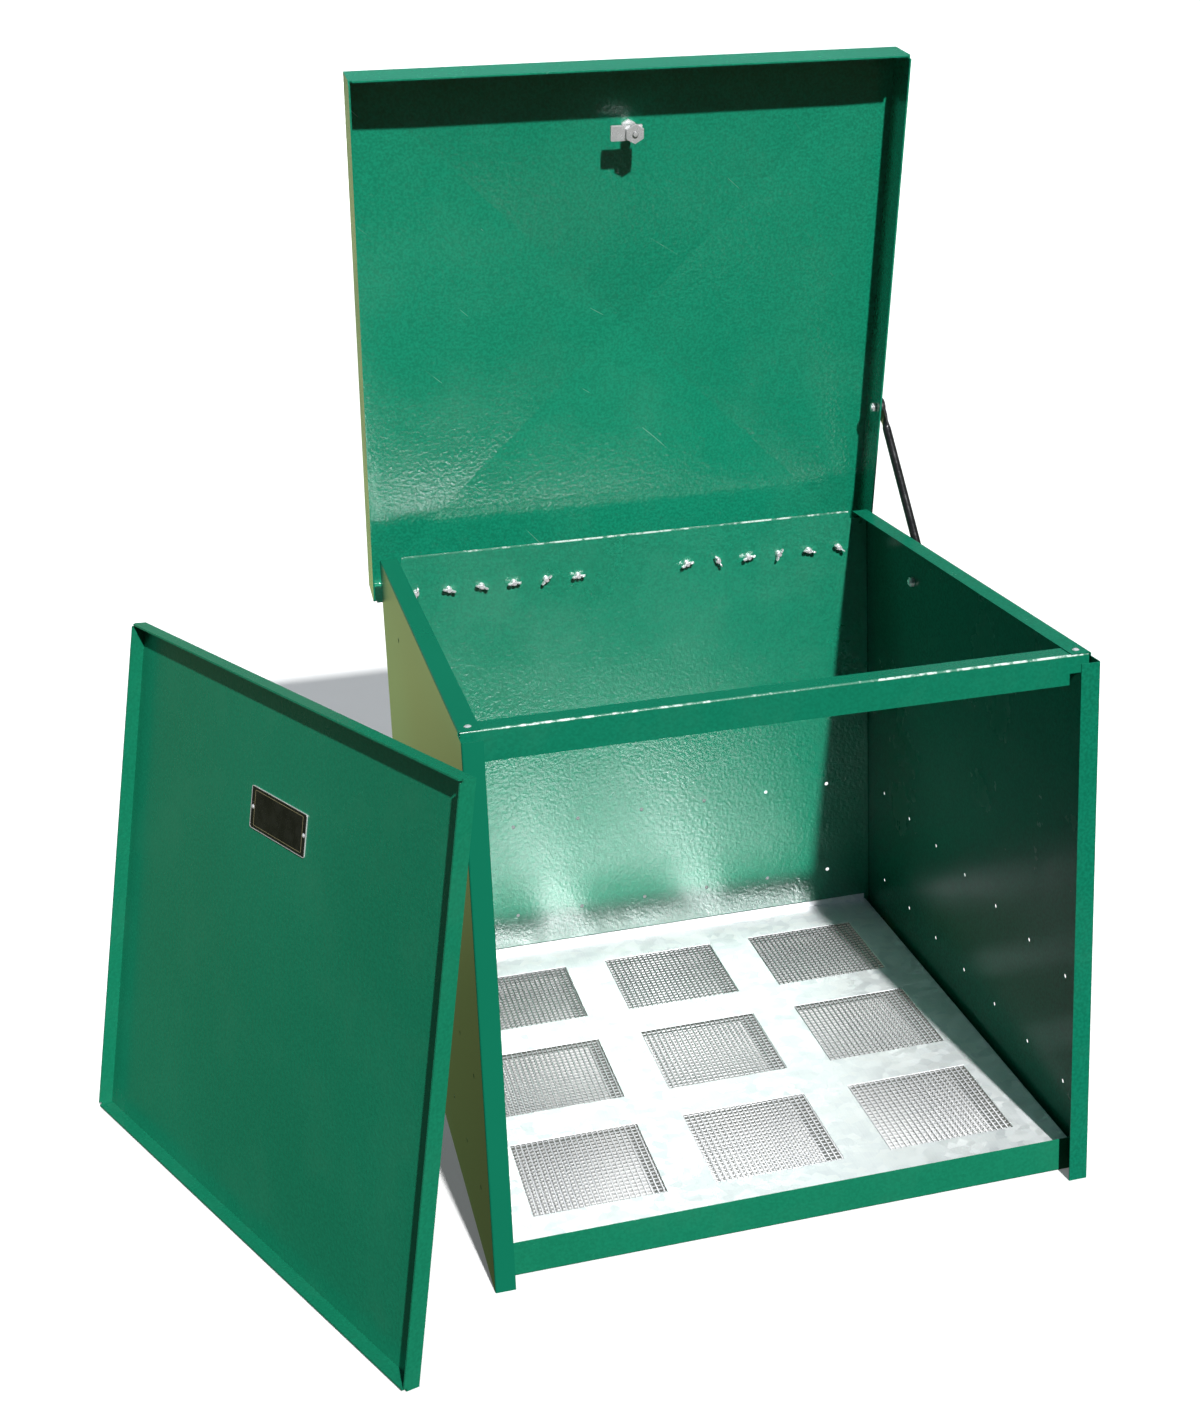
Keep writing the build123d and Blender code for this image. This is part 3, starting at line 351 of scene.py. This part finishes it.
# The lid's panel: how far it is turned at rest, its middle from the hinge pin when it is
# closed, and half its sides
LID_OPEN = math.radians(77.6)
LID_MIDDLE_CLOSED = Vector((0.0, -0.3908, 0.071))
LID_HALF_X, LID_HALF_Y = 0.40, 0.397
lid_turn = Matrix.Rotation(-LID_OPEN, 3, "X")
lid_middle = Vector(joint("lid_hinge")["pos_m"]) + lid_turn @ LID_MIDDLE_CLOSED

GREEN = (0.0032, 0.138, 0.076)
DOOR_GREEN = (0.0048, 0.138, 0.072)
RIVET_GREEN = (0.0045, 0.148, 0.082)
GILT = (1.0, 0.86, 0.5)
bar_low, bar_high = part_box("front_crossbar")

# The panels' coats are copies of one green scaled lighter or darker per panel: painted light on the lid and back
# panel, painted shade on the crossbar and the sides
coat = powder_coat("green_powder_coat", DOOR_GREEN, peel=0.5, grain=0.5)
# Painted light: the back panel's green is scaled lighter
back_coat = powder_coat(
    "back_powder_coat",
    scaled(GREEN, 1.12),
    rough=0.31,
    shine=1.0,
    ior=1.6,
    peel=1.2,
    pitch=205.0,
    # Pale top edge of the hem: partly wear, partly a painted highlight
    edge_wear_and_highlight=edge_above(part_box("back_panel")[1][2]),
)
# Painted light: the lid's green is scaled lighter
lid_coat = powder_coat(
    "lid_powder_coat",
    scaled(GREEN, 1.42),
    rough=0.22,
    shine=1.0,
    ior=1.6,
    peel=1.0,
    pitch=175.0,
    scratch=0.2,
    break_lie=(-lid_middle, (LID_OPEN, 0.0, 0.0), LID_HALF_X, LID_HALF_Y),
)
# Painted shade: the crossbar's green is scaled darker
front_coat = powder_coat(
    "front_powder_coat",
    scaled(GREEN, 0.92),
    peel=0.6,
    grain=0.5,
    # Pale line on the crossbar's bend: partly wear, partly a painted highlight
    edge_wear_and_highlight=front_corner(bar_low[1], bar_high[2]),
)
# Painted shade: the left side's green is scaled darker
left_coat = powder_coat(
    "left_powder_coat", scaled(GREEN, 0.88), relief=0.05, grain=0.0, dust=0.0
)
# Painted shade: the right side's green is scaled darker, and its inner face is painted darker still
right_coat = powder_coat(
    "right_powder_coat", scaled(GREEN, 0.9), rough=0.24, ior=1.2, relief=0.3, painted_inner_shade=True
)
rivet_coat = powder_coat("green_rivet_coat", RIVET_GREEN, rough=0.24)
sheet_zinc = galvanised("galvanised_sheet", tone=0.97, metal=0.62, rough=0.47)
wire_zinc = galvanised("galvanised_wire", tone=0.55, metal=0.4, rough=0.4, spangle=240.0)
bright = plated("bright_zinc", tone=0.86, rough=0.3)
alloy = plated("bright_alloy", tone=0.9, rough=0.24)
hinge_paint = black_paint("hinge_paint", tone=0.014, rough=0.34)
stay_paint = black_paint("stay_paint", tone=0.009, rough=0.2, chip=0.35)
latch_paint = black_paint("latch_paint", tone=0.012, rough=0.36)
plate_paint = black_paint("plate_paint", tone=0.006, rough=0.26, chip=0.2)
gilt = plated("gilt_line", tone=0.5, rough=0.3, tint=GILT)

slot_finishes = {
    "green_coat": coat,
    "green_rivet": rivet_coat,
    "galvanised": sheet_zinc,
    "galvanised_mesh": wire_zinc,
    "zinc": bright,
    "pale_rivet": alloy,
    "hinge_black": hinge_paint,
    "stay_black": stay_paint,
    "latch_black": latch_paint,
    "plate_black": plate_paint,
}
own_finishes = {
    "lid_panel": lid_coat,
    "back_panel": back_coat,
    "front_crossbar": front_coat,
    "left_side_panel": left_coat,
    "right_side_panel": right_coat,
}
for part in frame["record"]["subparts"]:
    finish = own_finishes.get(part["node"], slot_finishes[part["material_slot"]])
    mesh = nodes[part["node"]].data
    mesh.materials.clear()
    mesh.materials.append(finish)


# ---- Softened edges on the carried-over pieces

WELD_DISTANCE = 0.000004
FLAT_ANGLE = math.radians(0.5)
SHARP_ANGLE = math.radians(32.0)


def soften(node, width, segments):
    """Rounds a piece's sharp edges so that they catch the light."""
    piece = nodes[node]
    weld = piece.modifiers.new("weld", "WELD")
    weld.merge_threshold = WELD_DISTANCE
    facets = piece.modifiers.new("facets", "DECIMATE")
    facets.decimate_type = "DISSOLVE"
    facets.angle_limit = FLAT_ANGLE
    bevel = piece.modifiers.new("edge", "BEVEL")
    bevel.limit_method = "ANGLE"
    bevel.angle_limit = SHARP_ANGLE
    bevel.width = width
    bevel.segments = segments
    piece.modifiers.new("shading", "WEIGHTED_NORMAL").keep_sharp = True


SMALL_FITTINGS = (
    "latch_cam",
    "latch_cam_nut",
    "latch_handle",
    "wing_nuts",
    "stay_nut",
    "stay_stud_nut",
    "latch_barrel_nut",
)
FOLDED_SHEETS = (
    "left_side_panel",
    "right_side_panel",
    "front_crossbar",
    "front_sill",
    "floor_tray",
)
for group, edge_width, edge_segments in (
    (SMALL_FITTINGS, 0.0005, 2),
    (("lid_panel", "door_panel"), 0.0010, 3),
    (FOLDED_SHEETS, 0.0004, 2),
    (("back_panel",), 0.0013, 4),
):
    for node in group:
        soften(node, edge_width, edge_segments)


# ---- New pieces


def mesh_piece(name, shape, body, material, smooth=False):
    """Makes an object of a bmesh and sets it riding on a body."""
    data = bpy.data.meshes.new(name)
    shape.to_mesh(data)
    shape.free()
    data.materials.append(material)
    for face in data.polygons:
        face.use_smooth = smooth
    piece = bpy.data.objects.new(name, data)
    scene.collection.objects.link(piece)
    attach(piece, body)
    return piece


def join_rings(shape, rings):
    """Adds quads between each ring of vertices and the next."""
    for a, b in zip(rings, rings[1:]):
        for i in range(len(a)):
            j = (i + 1) % len(a)
            shape.faces.new((a[i], a[j], b[j], b[i]))


def wire(shape, start, end, radius, sides=6):
    """Adds a straight round wire between two points."""
    start, end = Vector(start), Vector(end)
    along = (end - start).normalized()
    side = along.orthogonal().normalized()
    up = along.cross(side)
    turns = [2 * math.pi * (i + 0.5) / sides for i in range(sides)]
    around = [radius * (math.cos(t) * side + math.sin(t) * up) for t in turns]
    rings = [[shape.verts.new(point + out) for out in around] for point in (start, end)]
    join_rings(shape, rings)
    shape.faces.new(reversed(rings[0]))
    shape.faces.new(rings[1])


# Floor screen: welded wire cloth in two layers, held under the tray
WIRE = 0.0011
PITCH = 0.0075
LAYER_DROP = 1.7 * WIRE
low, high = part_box("floor_mesh")
shape = bmesh.new()
across = int((high[0] - low[0]) / PITCH)
along = int((high[1] - low[1]) / PITCH)
top = high[2] - WIRE
under = top - LAYER_DROP
for i in range(across + 1):
    x = (low[0] + high[0]) / 2 + (i - across / 2) * PITCH
    wire(shape, (x, low[1], top), (x, high[1], top), WIRE)
for j in range(along + 1):
    y = (low[1] + high[1]) / 2 + (j - along / 2) * PITCH
    wire(shape, (low[0], y, under), (high[0], y, under), WIRE)
screen = mesh_piece("floor_screen", shape, "bin", wire_zinc, smooth=True)
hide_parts("floor_mesh")


def rounded(half_w, half_h, corner, steps=6):
    """Points round a rectangle with rounded corners."""
    points = []
    for quarter, (side, end) in enumerate(((1, 1), (-1, 1), (-1, -1), (1, -1))):
        middle_x, middle_y = side * (half_w - corner), end * (half_h - corner)
        for i in range(steps + 1):
            turn = math.pi / 2 * (quarter + i / steps)
            points.append((middle_x + corner * math.cos(turn), middle_y + corner * math.sin(turn)))
    return points


def border(shape, place, half_w, half_h, corner, width, low, high):
    """Adds a raised line round a rectangle; place turns (across, up, out) into a point."""
    outer = rounded(half_w, half_h, corner)
    inner = rounded(half_w - width, half_h - width, max(corner - width, width / 2))
    loops = [
        [shape.verts.new(place(x, y, z)) for x, y in loop]
        for loop, z in ((outer, low), (outer, high), (inner, high), (inner, low))
    ]
    join_rings(shape, loops + loops[:1])
    bmesh.ops.recalc_face_normals(shape, faces=shape.faces)


# Name plate: bare, with a bright rim and one thin gilt line
RIM_WIDTH, RIM_CORNER = 0.0009, 0.0032
RIM_OVERHANG, RIM_SET_BACK, RIM_PROUD = 0.0002, 0.0001, 0.0003
LINE_WIDTH, LINE_CORNER = 0.0006, 0.002
LINE_INSET, LINE_PROUD = 0.0085, 0.00015
plate = nodes["name_plate"].data
plate_out = max(plate.polygons, key=lambda face: face.area).normal.copy()
if plate_out.y > 0:
    plate_out.negate()
plate_across = Vector((0.0, 0.0, 1.0)).cross(plate_out).normalized()
plate_up = plate_out.cross(plate_across)
plate_middle = (Vector(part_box("name_plate")[0]) + Vector(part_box("name_plate")[1])) / 2
half_across, half_up, half_out = (
    max((v.co - plate_middle).dot(way) for v in plate.vertices)
    for way in (plate_across, plate_up, plate_out)
)


def on_plate(x, y, z):
    return plate_middle + x * plate_across + y * plate_up + z * plate_out


shape = bmesh.new()
border(
    shape,
    on_plate,
    half_across + RIM_OVERHANG,
    half_up + RIM_OVERHANG,
    RIM_CORNER,
    RIM_WIDTH,
    low=RIM_SET_BACK - half_out,
    high=half_out + RIM_PROUD,
)
mesh_piece("name_plate_rim", shape, "door", alloy)
shape = bmesh.new()
border(
    shape,
    on_plate,
    half_across - LINE_INSET,
    half_up - LINE_INSET / 2,
    LINE_CORNER,
    LINE_WIDTH,
    low=0.0,
    high=half_out + LINE_PROUD,
)
mesh_piece("name_plate_line", shape, "door", gilt)


def lathe(shape, base, axis, profile, sides=24):
    """Turns (radius, height) pairs round an axis."""
    side = axis.orthogonal().normalized()
    other = axis.cross(side)
    turns = [2 * math.pi * i / sides for i in range(sides)]
    ways = [math.cos(t) * side + math.sin(t) * other for t in turns]
    rings = [
        [shape.verts.new(base + height * axis + radius * way) for way in ways]
        for radius, height in profile
    ]
    join_rings(shape, rings)
    shape.faces.new(reversed(rings[0]))
    shape.faces.new(rings[-1])


# Threaded tip of the latch's spindle, standing out of its nut
TIP_RADIUS = 0.0041
TIP_SUNK = 0.001
TIP_PROUD = 0.0003
TIP_CHAMFER = 0.0008
TIP_DOME_RADIUS, TIP_DOME_RISE = 0.0012, 0.0002
THREAD_PITCH, THREAD_DEPTH = 0.0008, 0.0003
inward = -Vector(joint("latch_turn")["axis"]).normalized()
nut_middle = (Vector(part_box("latch_cam_nut")[0]) + Vector(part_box("latch_cam_nut")[1])) / 2


def reach(node):
    """How far a piece reaches into the lid from the middle of the nut."""
    return max((v.co - nut_middle).dot(inward) for v in nodes[node].data.vertices)


tip_end = reach("latch_handle") + TIP_PROUD
profile = [(TIP_RADIUS, reach("latch_cam_nut") - TIP_SUNK)]
while profile[-1][1] + THREAD_PITCH < tip_end - THREAD_PITCH:
    height = profile[-1][1]
    profile += [
        (TIP_RADIUS - THREAD_DEPTH, height + THREAD_PITCH / 2),
        (TIP_RADIUS, height + THREAD_PITCH),
    ]
profile += [(TIP_RADIUS - TIP_CHAMFER, tip_end), (TIP_DOME_RADIUS, tip_end + TIP_DOME_RISE)]
shape = bmesh.new()
lathe(shape, nut_middle, inward, profile)
mesh_piece("latch_spindle_tip", shape, "latch", bright)


# ---- Studio

FLOOR_RADIUS, SWEEP, WALL = 9.0, 2.5, 7.0
PAPER_DARK, PAPER_LIGHT = rgb(0.64, 0.64, 0.635), rgb(0.66, 0.66, 0.655)
PAPER_GLOW, PAPER_GLOW_STRENGTH = rgb(1.0, 1.0, 0.99), 0.12


def studio_floor(sides=96, steps=12):
    """Pale floor that sweeps up all round and lights nothing."""
    shape = bmesh.new()
    profile = [(FLOOR_RADIUS, 0.0)]
    for i in range(1, steps + 1):
        turn = math.pi / 2 * i / steps
        profile.append((FLOOR_RADIUS + SWEEP * math.sin(turn), SWEEP - SWEEP * math.cos(turn)))
    profile.append((FLOOR_RADIUS + SWEEP, WALL))
    turns = [2 * math.pi * i / sides for i in range(sides)]
    rings = [
        [shape.verts.new((radius * math.cos(t), radius * math.sin(t), height)) for t in turns]
        for radius, height in profile
    ]
    for a, b in zip(rings, rings[1:]):
        for i in range(sides):
            j = (i + 1) % sides
            shape.faces.new((a[j], a[i], b[i], b[j])).smooth = True
    shape.faces.new(rings[0])
    data = bpy.data.meshes.new("studio_floor")
    shape.to_mesh(data)
    shape.free()
    floor = bpy.data.objects.new("studio_floor", data)
    scene.collection.objects.link(floor)
    s = Shade(
        "studio_paper",
        Roughness=0.9,
        Emission_Color=PAPER_GLOW,
        Emission_Strength=PAPER_GLOW_STRENGTH,
    )
    data.materials.append(s.finish(s.mix(s.noise(scale=14.0, detail=3.0), PAPER_DARK, PAPER_LIGHT)))
    floor.visible_diffuse = False
    floor.visible_glossy = False
    floor.visible_shadow = False


studio_floor()

# Surroundings: open sky above, a mown field below that is dim in front and sunlit behind.
# Each stop is a share of the way from straight down to straight up, and a colour.
FRONT_STOPS = (
    (0.0, (0.08, 0.10, 0.05)),
    (0.47, (0.11, 0.13, 0.08)),
    (0.54, (0.24, 0.28, 0.28)),
    (1.0, (0.34, 0.44, 0.58)),
)
BACK_STOPS = (
    (0.0, (0.20, 0.25, 0.10)),
    (0.26, (0.58, 0.78, 0.25)),
    (0.33, (1.75, 2.10, 0.82)),
    (0.40, (1.40, 1.60, 0.70)),
    (0.48, (1.30, 1.45, 0.70)),
    (0.54, (0.34, 0.38, 0.38)),
    (1.0, (0.34, 0.44, 0.58)),
)
BACK_STARTS_Y = 0.45
STRAIGHT_DOWN_Z = -1.0
SURROUNDINGS_STRENGTH = 0.4
world = bpy.data.worlds.new("studio")
scene.world = world
world.use_nodes = True
sky = world.node_tree
facing = sky.nodes.new("ShaderNodeSeparateXYZ")
sky.links.new(sky.nodes.new("ShaderNodeTexCoord").outputs["Generated"], facing.inputs[0])
shares = []
for axis, lowest in (("Y", BACK_STARTS_Y), ("Z", STRAIGHT_DOWN_Z)):
    share = sky.nodes.new("ShaderNodeMapRange")
    share.inputs["From Min"].default_value = lowest
    sky.links.new(facing.outputs[axis], share.inputs["Value"])
    shares.append(share.outputs[0])
backward, upward = shares
blend = sky.nodes.new("ShaderNodeMix")
blend.data_type = "RGBA"
sky.links.new(backward, blend.inputs[MIX_FACTOR])
for stops, socket in ((FRONT_STOPS, MIX_A), (BACK_STOPS, MIX_B)):
    ramp = sky.nodes.new("ShaderNodeValToRGB")
    while len(ramp.color_ramp.elements) < len(stops):
        ramp.color_ramp.elements.new(0.5)
    for element, (place, tint) in zip(ramp.color_ramp.elements, stops):
        element.position = place
        element.color = rgb(*tint)
    sky.links.new(upward, ramp.inputs[0])
    sky.links.new(ramp.outputs[0], blend.inputs[socket])
sky.links.new(blend.outputs[MIX_RESULT], sky.nodes["Background"].inputs["Color"])
sky.nodes["Background"].inputs["Strength"].default_value = SURROUNDINGS_STRENGTH


def lamp(name, kind, energy, toward, place=(0.0, 0.0, 0.0), glossy=True, **settings):
    data = bpy.data.lights.new(name, kind)
    data.energy = energy
    for key, value in settings.items():
        setattr(data, key, value)
    light = bpy.data.objects.new(name, data)
    scene.collection.objects.link(light)
    light.location = place
    light.rotation_euler = Vector(toward).to_track_quat("-Z", "Y").to_euler()
    light.visible_glossy = glossy


lamp("key", "SUN", energy=6.8, toward=(-0.11, 1.0, -0.88), angle=math.radians(1.6))
lamp(
    "back_fill",
    "SUN",
    energy=1.8,
    toward=(-0.45, -0.8, -0.55),
    glossy=False,
    angle=math.radians(35),
)
lamp(
    "left_fill",
    "AREA",
    energy=40.0,
    toward=(1.0, -0.25, 0.0),
    place=(-4.0, 1.2, 0.7),
    glossy=False,
    size=2.0,
)

# Camera at the photograph's place
CAMERA_PLACE = (-0.42793, -2.2139, 1.4653)
YAW, TILT, ROLL = 0.22797, -0.24100, -0.04165
FOCAL_LENGTH, SENSOR_WIDTH, SHIFT_Y = 45.64, 36.0, -0.1648
FARTHEST = 100.0
ahead = Vector(
    (math.sin(YAW) * math.cos(TILT), math.cos(YAW) * math.cos(TILT), math.sin(TILT))
)
level = Vector((math.cos(YAW), -math.sin(YAW), 0.0))
upright = level.cross(ahead)
right = math.cos(ROLL) * level + math.sin(ROLL) * upright
up = -math.sin(ROLL) * level + math.cos(ROLL) * upright
lens = bpy.data.cameras.new("camera")
lens.lens = FOCAL_LENGTH
lens.sensor_width = SENSOR_WIDTH
lens.shift_y = SHIFT_Y
lens.clip_end = FARTHEST
camera = bpy.data.objects.new("camera", lens)
scene.collection.objects.link(camera)
pose = Matrix((right, up, -ahead)).transposed().to_4x4()
pose.translation = Vector(CAMERA_PLACE)
camera.matrix_world = pose
scene.camera = camera
scene.view_settings.view_transform = "Standard"
